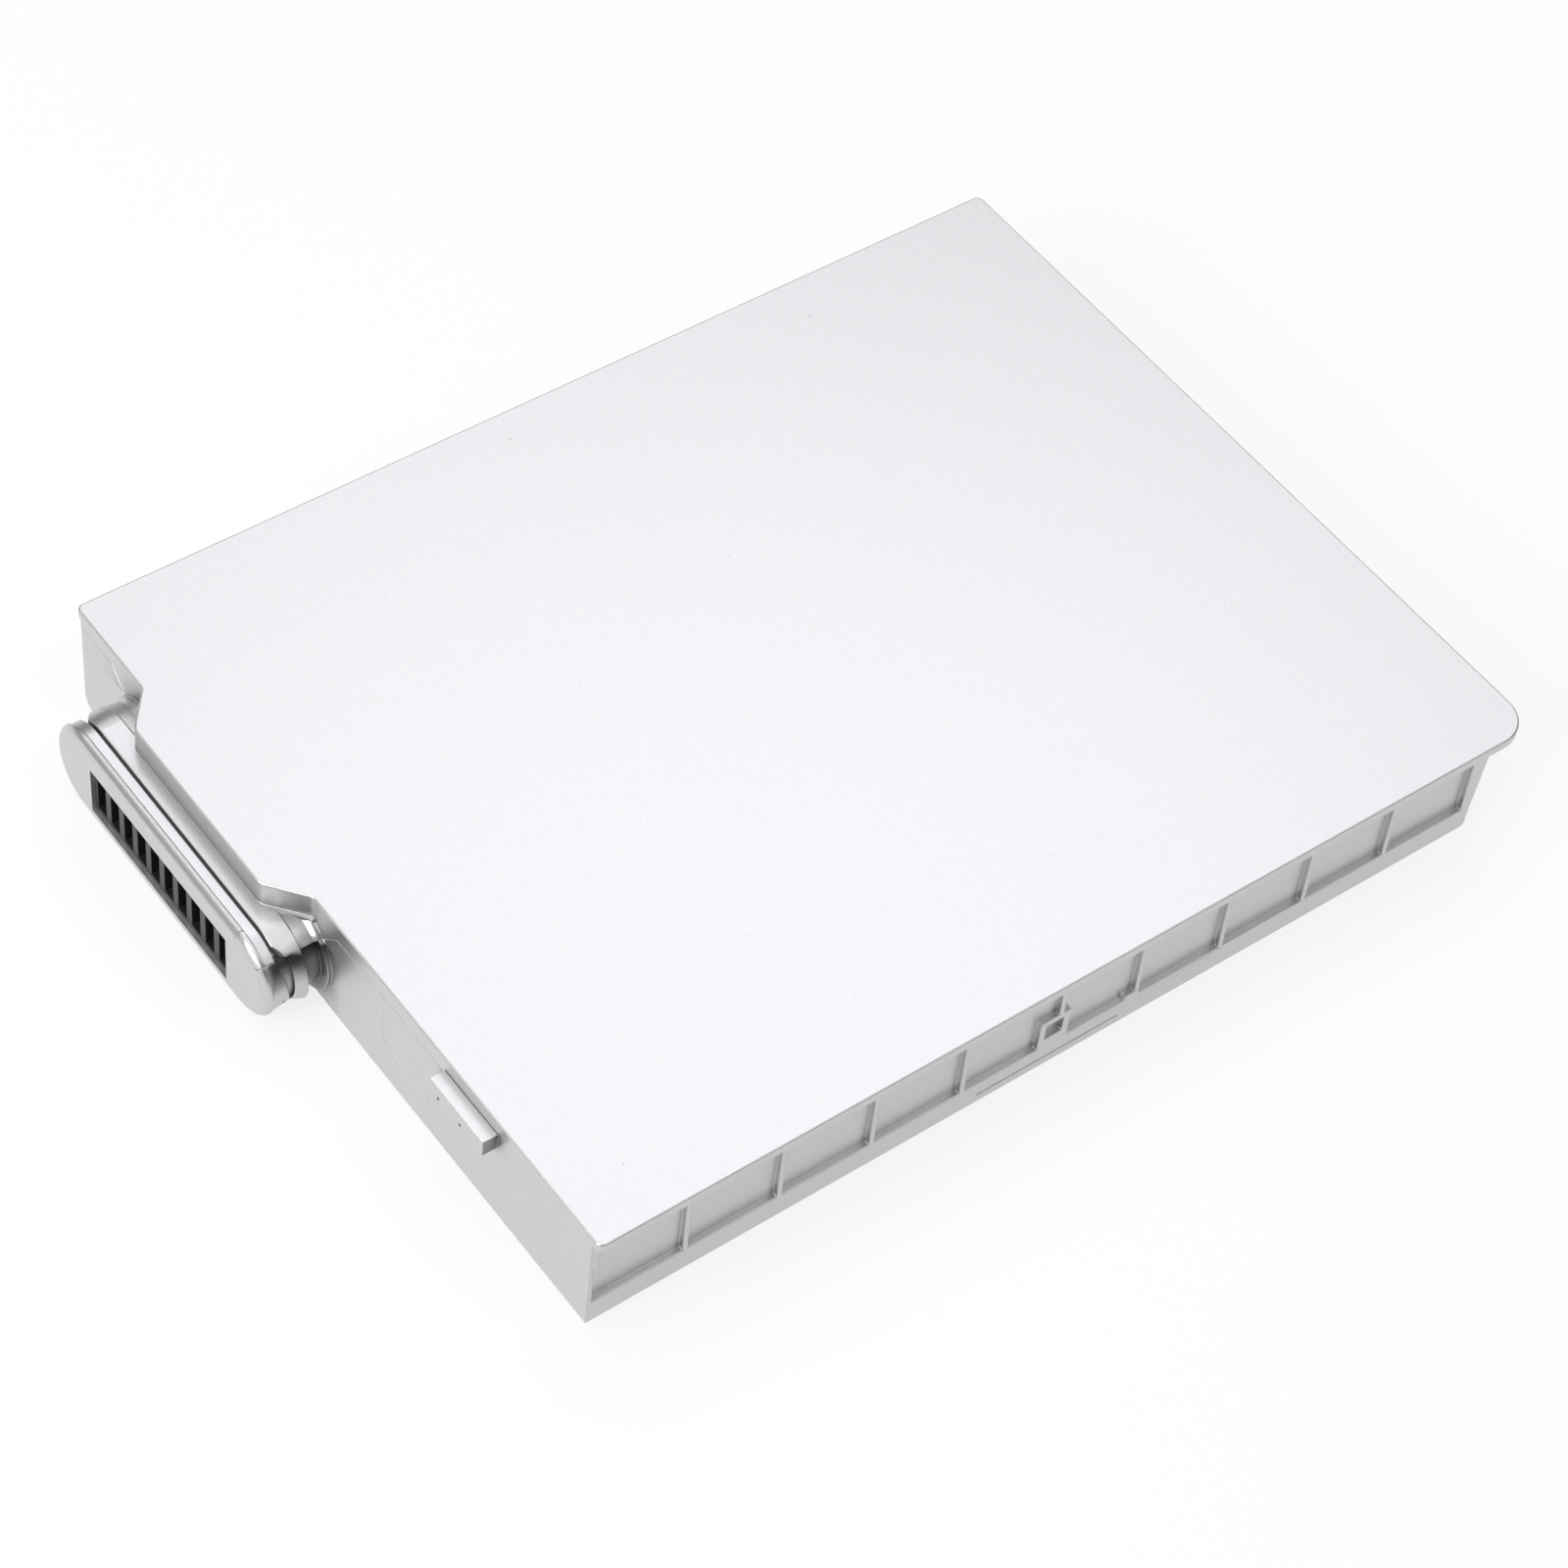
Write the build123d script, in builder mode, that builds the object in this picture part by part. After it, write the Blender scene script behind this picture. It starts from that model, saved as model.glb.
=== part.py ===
# A slim laptop battery: a moulded case and cover around two columns of round cells,
# with a circuit board in a bay at one short side and a plug that stands out of that side.
# X runs along the long side, away from the plug. Y runs across, from the ribbed side to the plain one.
# Z runs up from the underside, which the pack rests on. The origin is the middle of the underside.

import os
from math import sqrt

from build123d import *

os.makedirs("parts", exist_ok=True)

# Cells
cell_diameter = 18.4
cell_length = 65.2
cell_rows = 8
row_gap = 0.1
cell_clearance = 0.15

# Strips and insulating boards
strip_width = 8.0
strip_thickness = 0.2
strip_end = 5.0
strip_tail_width = 4.0
strip_foot = 5.0
paper_thickness = 1.2
paper_height = 16.5
middle_gap = 2.6
ribbon_width = 1.8
ribbon_overlap = 6.0
seat_gap = 0.1
cut_room = 1.0

# Case and cover walls
floor = 1.5
plate = 1.8
front_wall = 1.8
near_wall = 2.6
far_wall = 2.0
end_wall = 2.0
end_lean = 1.6
foot_height = 2.6
bay_length = 21.3
rim_height = 1.8
near_overhang = 2.0
far_overhang = 1.4
end_overhang = 6.2
lip_thickness = 1.0
lip_depth = 1.6
foot_round_far = 2.5
foot_round_end = 0.8
plate_edge_round = 0.35
plate_corner_round = 1.2
plate_grip_corner_round = 6.0

# Ribbed near wall
bay_count = 10
bay_depth = 1.1
bay_taper = 0.2
bay_rib = 0.9
corner_post = 0.9
band_height = 4.8
catch_rib = 5
catch_left = 2.6
catch_right = 3.3
catch_height = 6.4
catch_frame = 1.2
catch_sill = 1.8
catch_stem_shift = 0.9
catch_stem = 1.0
stop_length = 1.8
stop_height = 0.9
scribe_length = 27.8
scribe_width = 0.5
scribe_depth = 0.25
scribe_height = 1.85

# Plug side wall
skirt_height = 3.4
bar_start = 25.6
bar_length = 13.9
bar_reach = 2.7
bar_thickness = 3.2
bar_rise = 0.75
dent_diameter = 0.8
dent_depth = 0.4
dent_drop = 6.8
dent_first = 9.8
dent_second = 15.4

# Plug hood
plug_start = 78.4
plug_straight = 45.3
plug_reach = 11.4
plug_radius = 8.3
plug_ground_gap = 0.1
face_inset = 1.15
rim_depth = 1.45
neck_depth = 1.65
neck_step = 0.2
groove_width = 0.45
groove_depth = 1.3
ring_rise = 0.15
ring_length = 3.85
crease = 0.2
waist_depth = 1.6
waist_fall = 0.5
root_length = 0.7
root_rise = 0.3
collar_start = 3.8
collar_end = 6.6
collar_recess = 1.9
case_neck_taper = 0.5
case_ring_drop = 0.7
channel_start = 4.0
drain_length = 1.2
drain_width = 1.8
drain_depth = 1.4
drain_shift = 7.2
hood_wall = 1.6
hood_seam_rise = 5.3
seam_spread = 5.1
finger_offset = 0.4
joint_gap = 0.05

# Tongue of the cover over the plug
tongue_reach = 5.35
tongue_root = 49.1
tongue_tip = 36.0
tongue_shift = -1.35
tongue_tip_round = 3.0
tongue_root_round = 1.8
tongue_cove = 0.5

# Contact block and contacts
window_length = 39.6
window_height = 9.7
window_shift = 0.55
window_drop = 1.35
block_gap = 0.12
block_recess = 0.8
block_back = 1.2
block_flange = 1.5
slot_count = 10
slot_rib = 1.5
slot_margin = 0.6
slot_depth = 8.0
contact_thickness = 0.4
contact_height = 6.0
contact_recess = 2.2
contact_tail = 2.4
contact_root = 1.0
contact_tail_height = 0.4

# Circuit board
board_thickness = 1.2
board_height = 6.0
board_end_gap = 3.0
board_side_gap = 0.3
post_diameter = 4.0
pin_diameter = 1.6
pin_proud = 0.6
post_inset = 6.0
rest_width = 1.6
partition = 1.2
valley_height = 5.0
valley_inset = 6.0

# Parts on the board
chip_thickness = 1.0
chip_stand = 0.1
chip_width = 4.4
switch_width = 3.9
leg_reach = 1.0
leg_thickness = 0.2
fine_leg_pitch = 0.65
coarse_leg_pitch = 1.27
gauge_leg_count = 10
monitor_leg_count = 8
switch_leg_count = 4
part_spacing = 4.0
resistor_length = 6.3
resistor_width = 3.2
resistor_thickness = 0.6
fuse_length = 5.4
fuse_width = 3.2
fuse_thickness = 1.2
thermistor_length = 3.2
thermistor_width = 1.6
cap_land = 0.8

# Overall sizes that follow from the cells and the walls
row_pitch = cell_diameter + row_gap
end_gap = strip_thickness + paper_thickness + 2 * seat_gap
inner_length = bay_length + cell_rows * row_pitch + seat_gap
inner_width = 2 * cell_length + middle_gap + 2 * end_gap
plate_length = front_wall + inner_length + end_wall + end_lean + end_overhang
plate_width = near_overhang + near_wall + inner_width + far_wall + far_overhang
pack_height = floor + cell_clearance + cell_diameter + cell_clearance + plate

# Main places
front_x = (plug_reach - plate_length) / 2
inner_x = front_x + front_wall
inner_end_x = inner_x + inner_length
foot_end_x = inner_end_x + end_wall
cells_x = inner_x + bay_length
near_y = -plate_width / 2
case_y = near_y + near_overhang
inner_y = case_y + near_wall
inner_far_y = inner_y + inner_width
case_far_y = inner_far_y + far_wall
rim_z = pack_height - rim_height
plate_z = pack_height - plate
skirt_z = pack_height - skirt_height
cell_z = floor + cell_clearance + cell_diameter / 2
near_cells_y = inner_y + end_gap
middle_y = near_cells_y + cell_length
middle_far_y = middle_y + middle_gap
far_cells_end_y = middle_far_y + cell_length

# Plug places
root_radius = plug_radius + root_rise
plug_z = plug_ground_gap + root_radius
plug_y = near_y + plug_start
plug_far_y = plug_y + plug_straight
plug_middle_y = (plug_y + plug_far_y) / 2
hood_seam_z = plug_z + hood_seam_rise
face_x = front_x - plug_reach
rim_back_x = face_x + rim_depth
neck_back_x = rim_back_x + neck_depth
ring_x = neck_back_x + groove_width
waist_x = ring_x + ring_length
root_x = front_x - root_length
neck_radius = plug_radius - neck_step
groove_radius = plug_radius - groove_depth
ring_radius = plug_radius + ring_rise
waist_radius = plug_radius - waist_depth
case_ring_x = ring_x + collar_recess
case_groove_x = case_ring_x - groove_width
case_neck_radius = neck_radius - case_neck_taper
case_ring_radius = plug_radius - case_ring_drop
pocket_radius = groove_radius - 0.6 * hood_wall
window_y = plug_middle_y + window_shift - window_length / 2
window_far_y = window_y + window_length
window_z = plug_z - window_drop - window_height / 2
window_top_z = window_z + window_height
tongue_y = plug_middle_y + tongue_shift

# Contact and board places
block_x = face_x + block_recess
block_back_x = inner_x + block_back
block_y = window_y + block_gap
block_far_y = window_far_y - block_gap
block_z = window_z + block_gap
block_top_z = window_top_z - block_gap
slot_pitch = (block_far_y - block_y - 2 * slot_margin + slot_rib) / slot_count
partition_x = cells_x - seat_gap - partition
board_x = block_back_x + board_side_gap
board_end_x = partition_x - board_side_gap
board_y = inner_y + board_end_gap
board_far_y = inner_far_y - board_end_gap
board_top_z = board_height + board_thickness
posts = [
    (board_x + post_diameter / 2, board_y + post_inset),
    (board_end_x - post_diameter / 2, board_far_y - post_inset),
]


def block(x0, x1, y0, y1, z0, z1, mode=Mode.ADD):
    """A box in the current part, given by its limits."""
    with Locations(((x0 + x1) / 2, (y0 + y1) / 2, (z0 + z1) / 2)):
        Box(x1 - x0, y1 - y0, z1 - z0, mode=mode)


def finish(piece, name):
    """Label a finished piece and write it."""
    piece.part.label = name
    export_step(piece.part, f"parts/{name}.step")


def round_end(outline, y_round, y_flat, mode=Mode.ADD):
    """An outline of depth against radius, turned round one end of the plug and run straight to y_flat."""
    turn = -1 if y_flat > y_round else 1
    end_plane = Plane((0, y_round, plug_z), x_dir=(1, 0, 0), z_dir=(0, -1, 0))
    with BuildSketch(end_plane) as half:
        with BuildLine():
            Polyline(*outline, close=True)
        make_face()
    with BuildSketch(end_plane) as whole:
        with BuildLine():
            Polyline(*outline, close=True)
        make_face()
        mirror(about=Plane.XZ)
    revolve(half.sketch, axis=Axis((0, y_round, plug_z), (-turn, 0, 0)), revolution_arc=180, mode=mode)
    extrude(whole.sketch, amount=y_round - y_flat, mode=mode)


# Plug hood: flange with a rounded face edge, neck, groove, ring, waist and root flange against the wall.
# The cover's half and the case's half share the flange; the case's neck runs on further to its groove.
flange_outline = [
    (face_x, 0),
    (face_x, plug_radius - face_inset),
    (face_x + 0.2 * rim_depth, plug_radius - 0.5 * face_inset),
    (face_x + 0.55 * rim_depth, plug_radius - 0.12 * face_inset),
    (rim_back_x - neck_step, plug_radius),
    (rim_back_x, neck_radius),
]
root_outline = [
    (root_x, root_radius),
    (inner_x, root_radius),
    (inner_x, 0),
]
cover_outline = [
    *flange_outline,
    (neck_back_x, neck_radius),
    (neck_back_x, groove_radius),
    (ring_x, groove_radius),
    (ring_x, plug_radius),
    (ring_x + 2 * ring_rise, ring_radius),
    (waist_x, ring_radius),
    (waist_x + crease, ring_radius - crease),
    (root_x - root_length, ring_radius - 2 * crease),
    *root_outline,
]
case_outline = [
    *flange_outline,
    (case_groove_x, case_neck_radius),
    (case_groove_x, groove_radius),
    (case_ring_x, groove_radius),
    (case_ring_x, case_ring_radius),
    (waist_x, ring_radius),
    (waist_x + waist_fall, waist_radius),
    (root_x, waist_radius),
    *root_outline,
]
pocket_outline = [
    (face_x + hood_wall, 0),
    (face_x + hood_wall, pocket_radius),
    (inner_x + joint_gap, pocket_radius),
    (inner_x + joint_gap, 0),
]


def hollow_plug():
    """Cut the contact window through the plug and its wall, and a pocket beside each end of it."""
    window_end_x = inner_x + cut_room
    block(face_x - cut_room, window_end_x, window_y, window_far_y, window_z, window_top_z, Mode.SUBTRACT)
    round_end(pocket_outline, plug_y, window_y - hood_wall, mode=Mode.SUBTRACT)
    round_end(pocket_outline, plug_far_y, window_far_y + hood_wall, mode=Mode.SUBTRACT)


core_outline = [
    (ring_x - cut_room, 0),
    (ring_x - cut_room, groove_radius),
    (ring_x + ring_length, groove_radius),
    (ring_x + ring_length, 0),
]


def collar_cut(end_y, turn):
    """Set the cover's ring back round one end of the plug, down to the floor of the groove."""
    last_y = end_y + turn * (ring_radius + cut_room)
    with BuildPart() as cut:
        with BuildSketch(Plane.XY):
            with BuildLine():
                Polyline(
                    (ring_x - joint_gap, end_y + turn * collar_start),
                    (ring_x + collar_recess, end_y + turn * collar_end),
                    (ring_x + collar_recess, last_y),
                    (ring_x - joint_gap, last_y),
                    close=True,
                )
            make_face()
        extrude(amount=plug_z + 2 * ring_radius)
        round_end(core_outline, end_y, plug_middle_y, mode=Mode.SUBTRACT)
    return cut.part


def channel_cut(end_y, turn):
    """Carry the groove on across the case's neck at one end of the plug, leaning away from the face."""
    first_y = end_y + turn * channel_start
    low_z = plug_z - plug_radius / 2
    with BuildPart() as cut:
        with BuildSketch(Plane.XZ.offset(-first_y)):
            with BuildLine():
                Polyline(
                    (neck_back_x, hood_seam_z + cut_room),
                    (case_ring_x, hood_seam_z + cut_room),
                    (case_ring_x, low_z),
                    (case_groove_x, low_z),
                    close=True,
                )
            make_face()
        extrude(amount=-turn * (ring_radius + cut_room))
        round_end(core_outline, end_y, plug_middle_y, mode=Mode.SUBTRACT)
    return cut.part


def hood(outline):
    """The plug's hollow hood with the wall behind it, before the seam divides it."""
    with BuildPart() as body:
        round_end(outline, plug_y, plug_middle_y)
        round_end(outline, plug_far_y, plug_middle_y)
        block(front_x, inner_x, case_y, case_far_y, hood_seam_z - cut_room, rim_z)
        hollow_plug()
    return body.part


def cover_side(gap):
    """The room above the parting seam on the plug side, widened by a gap."""
    low_y = plug_y - seam_spread - gap
    low_far_y = plug_far_y + seam_spread + gap
    low_z = hood_seam_z - gap
    high_z = skirt_z - gap
    skirt_y = near_y + bar_start - gap
    slope = skirt_z - hood_seam_z
    with BuildPart() as side:
        with BuildSketch(Plane.YZ.offset(face_x - cut_room)):
            with BuildLine():
                Polyline(
                    (case_y - cut_room, rim_z),
                    (skirt_y, rim_z),
                    (skirt_y, high_z),
                    (low_y - slope, high_z),
                    (low_y, low_z),
                    (low_far_y, low_z),
                    (low_far_y + slope, high_z),
                    (case_far_y + cut_room, high_z),
                    (case_far_y + cut_room, pack_height),
                    (case_y - cut_room, pack_height),
                    close=True,
                )
            make_face()
        extrude(amount=inner_x + gap - face_x + cut_room)
        block(
            face_x - 2 * cut_room,
            rim_back_x - gap,
            plug_y + finger_offset + gap,
            plug_far_y + 2 * root_radius,
            0,
            pack_height + cut_room,
            mode=Mode.SUBTRACT,
        )
    return side.part


cover_room = cover_side(0)
cover_room_wide = cover_side(joint_gap)

# Top cover: flat plate with a tongue over the plug, a skirt on the plug side, the upper part of the
# hood and a lip that locates it inside the other three walls of the case.
with BuildPart() as top_cover:
    add(hood(cover_outline))
    add(collar_cut(plug_y, -1), mode=Mode.SUBTRACT)
    add(collar_cut(plug_far_y, 1), mode=Mode.SUBTRACT)
    add(cover_room, mode=Mode.INTERSECT)
    with BuildSketch(Plane.XY.offset(rim_z)) as plan:
        with Locations((front_x + plate_length / 2, 0)):
            Rectangle(plate_length, plate_width)
        end_corners = plan.vertices().group_by(Axis.X)[-1].sort_by(Axis.Y)
        fillet(plan.vertices().group_by(Axis.X)[0] + end_corners[-1:], radius=plate_corner_round)
        grip_corner = plan.vertices().group_by(Axis.X)[-1].sort_by(Axis.Y)[0]
        fillet(grip_corner, radius=plate_grip_corner_round)
    extrude(amount=rim_height)
    with BuildSketch(Plane.XY.offset(hood_seam_z + joint_gap)) as tongue:
        with BuildLine():
            Polyline(
                (inner_x, tongue_y - tongue_root / 2 - tongue_root_round),
                (front_x, tongue_y - tongue_root / 2 - tongue_root_round),
                (front_x, tongue_y - tongue_root / 2),
                (front_x - tongue_reach, tongue_y - tongue_tip / 2),
                (front_x - tongue_reach, tongue_y + tongue_tip / 2),
                (front_x, tongue_y + tongue_root / 2),
                (front_x, tongue_y + tongue_root / 2 + tongue_root_round),
                (inner_x, tongue_y + tongue_root / 2 + tongue_root_round),
                close=True,
            )
        make_face()
        fillet(tongue.vertices().group_by(Axis.X)[0], radius=tongue_tip_round)
        root_corners = tongue.vertices().group_by(Axis.X)[-2].sort_by(Axis.Y)[1:-1]
        fillet(root_corners, radius=tongue_root_round)
    extrude(amount=pack_height - hood_seam_z - joint_gap)
    with BuildSketch(Plane.XY.offset(plug_z + ring_radius)) as cove:
        add(tongue.sketch_local)
        offset(amount=tongue_cove)
        with Locations((front_x - tongue_reach, tongue_y)):
            Rectangle(2 * tongue_reach, tongue_root + 2 * tongue_cove, mode=Mode.INTERSECT)
    extrude(cove.sketch, amount=hood_seam_z + joint_gap - plug_z - ring_radius)
    extrude(cove.sketch, amount=tongue_cove, taper=45)
    block(inner_x, inner_end_x, inner_y, inner_far_y, rim_z - cut_room, plate_z, mode=Mode.SUBTRACT)
    lip_x = inner_x + 2 * lip_thickness
    lip_end_x = inner_end_x - seat_gap
    lip_y = inner_y + seat_gap
    lip_far_y = inner_far_y - seat_gap
    lip_z = plate_z - lip_depth
    block(lip_x, lip_end_x, lip_y, lip_y + lip_thickness, lip_z, plate_z)
    block(lip_x, lip_end_x, lip_far_y - lip_thickness, lip_far_y, lip_z, plate_z)
    block(lip_end_x - lip_thickness, lip_end_x, lip_y, lip_far_y, lip_z, plate_z)
    fillet(top_cover.faces().sort_by(Axis.Z)[-1].edges(), radius=plate_edge_round)
finish(top_cover, "top_cover")

# Bottom case: tray with the ribbed near wall, a leaning end wall, the bar on the plug side and the
# lower part of the hood, with its window, end pockets, channels and drain.
bay_pitch = (foot_end_x - front_x - 2 * corner_post) / bay_count
bay_floor_y = case_y + bay_depth
catch_x = front_x + corner_post + catch_rib * bay_pitch - bay_rib / 2
catch_z = band_height + catch_height

with BuildPart() as bottom_case:
    with BuildSketch(Plane.XZ.offset(-case_y)):
        with BuildLine():
            Polyline(
                (front_x, 0),
                (foot_end_x, 0),
                (foot_end_x, foot_height),
                (foot_end_x + end_lean, rim_z),
                (front_x, rim_z),
                close=True,
            )
        make_face()
    extrude(amount=case_y - case_far_y)
    feet = bottom_case.faces().sort_by(Axis.Z)[0].edges()
    fillet(feet.sort_by(Axis.Y)[-1], radius=foot_round_far)
    end_foot = bottom_case.faces().sort_by(Axis.Z)[0].edges().sort_by(Axis.X)[-1]
    fillet(end_foot, radius=foot_round_end)
    block(inner_x, inner_end_x, inner_y, inner_far_y, floor, rim_z + cut_room, mode=Mode.SUBTRACT)
    for i in range(bay_count):
        bay_x = front_x + corner_post + i * bay_pitch
        bay_end_x = bay_x + bay_pitch - bay_rib
        if i == catch_rib - 1:
            bay_end_x = bay_x + bay_pitch
        with BuildSketch(Plane.YZ.offset(bay_x)):
            with BuildLine():
                Polyline(
                    (case_y - cut_room, band_height),
                    (bay_floor_y, band_height),
                    (bay_floor_y - bay_taper, rim_z + cut_room),
                    (case_y - cut_room, rim_z + cut_room),
                    close=True,
                )
            make_face()
        extrude(amount=bay_end_x - bay_x, mode=Mode.SUBTRACT)
    block(catch_x - catch_left, catch_x + catch_right, case_y, bay_floor_y, band_height, catch_z)
    block(
        catch_x - catch_left + catch_frame,
        catch_x + catch_right - catch_frame,
        case_y - cut_room,
        bay_floor_y,
        band_height + catch_sill,
        catch_z - catch_frame,
        mode=Mode.SUBTRACT,
    )
    stem_x = catch_x + catch_stem_shift
    block(stem_x, stem_x + catch_stem, case_y, bay_floor_y, catch_z, rim_z)
    stop_end_x = front_x + corner_post + (catch_rib + 1) * bay_pitch - bay_rib
    block(stop_end_x - stop_length, stop_end_x, case_y, bay_floor_y, band_height, band_height + stop_height)
    block(
        catch_x - scribe_length / 2,
        catch_x + scribe_length / 2,
        case_y - cut_room,
        case_y + scribe_depth,
        scribe_height - scribe_width / 2,
        scribe_height + scribe_width / 2,
        mode=Mode.SUBTRACT,
    )
    add(hood(case_outline))
    add(channel_cut(plug_y, -1), mode=Mode.SUBTRACT)
    add(channel_cut(plug_far_y, 1), mode=Mode.SUBTRACT)
    hollow_plug()
    add(cover_room_wide, mode=Mode.SUBTRACT)
    drain_x = neck_back_x - 0.25 * drain_length
    drain_y = plug_y - drain_shift
    drain_top_z = plug_z - sqrt(neck_radius**2 - drain_shift**2) + drain_depth
    block(
        drain_x,
        drain_x + drain_length,
        drain_y - drain_width / 2,
        drain_y + drain_width / 2,
        0,
        drain_top_z,
        mode=Mode.SUBTRACT,
    )
    bar_y = near_y + bar_start
    bar_far_y = bar_y + bar_length
    bar_top_z = skirt_z + bar_rise
    bar_root_z = skirt_z - joint_gap
    block(front_x - bar_reach, front_x, bar_y, bar_far_y, bar_top_z - bar_thickness, bar_root_z)
    block(front_x - bar_reach, front_x - joint_gap, bar_y, bar_far_y, bar_root_z, bar_top_z)
    for dent in (dent_first, dent_second):
        dent_place = Plane((front_x, bar_y + dent, skirt_z - dent_drop), z_dir=(-1, 0, 0))
        with BuildSketch(dent_place):
            Circle(dent_diameter / 2)
        extrude(amount=-dent_depth, mode=Mode.SUBTRACT)
    block(partition_x, partition_x + partition, inner_y, inner_far_y, floor, board_height)
    valley = row_pitch / 2 - sqrt((cell_diameter / 2) ** 2 - (cell_z - floor - valley_height) ** 2)
    for i in range(1, cell_rows):
        valley_x = cells_x + i * row_pitch
        half = valley - cell_clearance
        for start_y in (near_cells_y, middle_far_y):
            block(
                valley_x - half,
                valley_x + half,
                start_y + valley_inset,
                start_y + cell_length - valley_inset,
                floor,
                floor + valley_height,
            )
    for post in posts:
        with BuildSketch(Plane.XY.offset(floor)):
            with Locations(post):
                Circle(post_diameter / 2)
        extrude(amount=board_height - floor)
        with BuildSketch(Plane.XY.offset(board_height)):
            with Locations(post):
                Circle(pin_diameter / 2)
        extrude(amount=board_thickness + pin_proud)
    for rest_x, rest_y in ((board_x, posts[1][1]), (board_end_x - rest_width, posts[0][1])):
        block(rest_x, rest_x + rest_width, rest_y - post_inset, rest_y + post_inset, floor, board_height)
finish(bottom_case, "bottom_case")

# Contact block: black moulding with a row of slots open to the front, a flange behind the case wall
# and a narrow slit behind each slot for the tail of its contact.
contact_z = (block_z + block_top_z) / 2
slot_width = slot_pitch - slot_rib
slot_end_x = block_x + slot_depth
tail_z = board_top_z

with BuildPart() as contact_block:
    block(block_x, block_back_x, block_y, block_far_y, block_z, block_top_z)
    block(
        inner_x + seat_gap,
        block_back_x,
        block_y - block_flange,
        block_far_y + block_flange,
        floor + seat_gap,
        block_top_z + block_flange,
    )
    for i in range(slot_count):
        slot_y = block_y + slot_margin + i * slot_pitch
        tail_y = slot_y + slot_width / 2
        block(
            block_x - cut_room,
            slot_end_x,
            slot_y,
            slot_y + slot_width,
            block_z + slot_margin,
            block_top_z - slot_margin,
            mode=Mode.SUBTRACT,
        )
        block(
            slot_end_x - cut_room,
            block_back_x + cut_room,
            tail_y - contact_thickness / 2,
            tail_y + contact_thickness / 2,
            tail_z,
            tail_z + contact_tail_height,
            mode=Mode.SUBTRACT,
        )
finish(contact_block, "contact_block")

# Contacts: one flat spring blade on edge in each slot, with a tail soldered to the top of the board.
for i in range(slot_count):
    tail_y = block_y + slot_margin + i * slot_pitch + slot_width / 2
    blade_y = tail_y - contact_thickness / 2
    with BuildPart() as contact:
        block(
            block_x + contact_recess,
            slot_end_x,
            blade_y,
            blade_y + contact_thickness,
            contact_z - contact_height / 2,
            contact_z + contact_height / 2,
        )
        block(
            slot_end_x - contact_root,
            board_x + contact_tail,
            blade_y,
            blade_y + contact_thickness,
            tail_z,
            tail_z + contact_tail_height,
        )
        nose_edges = contact.faces().sort_by(Axis.X)[0].edges().filter_by(Axis.Y)
        chamfer(nose_edges, length=contact_recess / 2)
    finish(contact, f"contact_{i + 1:02d}")

# Circuit board: glass-fibre board on two posts and two rests of the case, held by the posts' pins.
with BuildPart() as circuit_board:
    block(board_x, board_end_x, board_y, board_far_y, board_height, board_top_z)
    with BuildSketch(Plane.XY.offset(board_top_z)):
        with Locations(*posts):
            Circle(pin_diameter / 2 + seat_gap)
    extrude(amount=-board_thickness, mode=Mode.SUBTRACT)
finish(circuit_board, "circuit_board")

board_middle_x = (board_x + board_end_x) / 2


def leaded_chip(name, start_y, width, legs, leg_pitch):
    """A moulded chip with a row of legs along each side. Gives the place for the next part."""
    length = legs * leg_pitch + leg_thickness
    chip_y = start_y + length / 2
    leg_width = 0.45 * leg_pitch
    body_z = board_top_z + chip_stand
    with BuildPart() as chip:
        block(
            board_middle_x - width / 2,
            board_middle_x + width / 2,
            chip_y - length / 2,
            chip_y + length / 2,
            body_z,
            body_z + chip_thickness,
        )
        for leg in range(legs):
            leg_y = chip_y + (leg - (legs - 1) / 2) * leg_pitch
            for side in (-1, 1):
                edge_x = board_middle_x + side * width / 2
                tip_x = edge_x + side * leg_reach
                block(
                    min(edge_x, tip_x) - leg_thickness / 2,
                    max(edge_x, tip_x) + leg_thickness / 2,
                    leg_y - leg_width / 2,
                    leg_y + leg_width / 2,
                    board_top_z,
                    body_z + leg_thickness,
                )
    finish(chip, name)
    return start_y + length + part_spacing


def board_block(name, y0, length, width, thickness):
    """A flat part soldered at both ends, lying across the board. Gives the place for the next part."""
    x0 = board_middle_x - length / 2
    x1 = board_middle_x + length / 2
    y1 = y0 + width
    with BuildPart() as flat_part:
        block(x0, x1, y0, y1, board_top_z, board_top_z + thickness)
        land_z = board_top_z + thickness + leg_thickness / 2
        block(x0, x0 + cap_land, y0, y1, board_top_z, land_z)
        block(x1 - cap_land, x1, y0, y1, board_top_z, land_z)
    finish(flat_part, name)
    return y1 + part_spacing


place_y = board_y + post_inset + post_diameter
place_y = board_block("thermistor", place_y, thermistor_length, thermistor_width, thermistor_width)
place_y = leaded_chip("gauge_chip", place_y, chip_width, gauge_leg_count, fine_leg_pitch)
leaded_chip("monitor_chip", place_y, chip_width, monitor_leg_count, fine_leg_pitch)
place_y = middle_far_y + strip_foot + part_spacing
place_y = leaded_chip("charge_switch", place_y, switch_width, switch_leg_count, coarse_leg_pitch)
place_y = leaded_chip("discharge_switch", place_y, switch_width, switch_leg_count, coarse_leg_pitch)
place_y = board_block("board_fuse", place_y, fuse_length, fuse_width, fuse_thickness)
board_block("sense_resistor", place_y, resistor_length, resistor_width, resistor_thickness)

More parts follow.
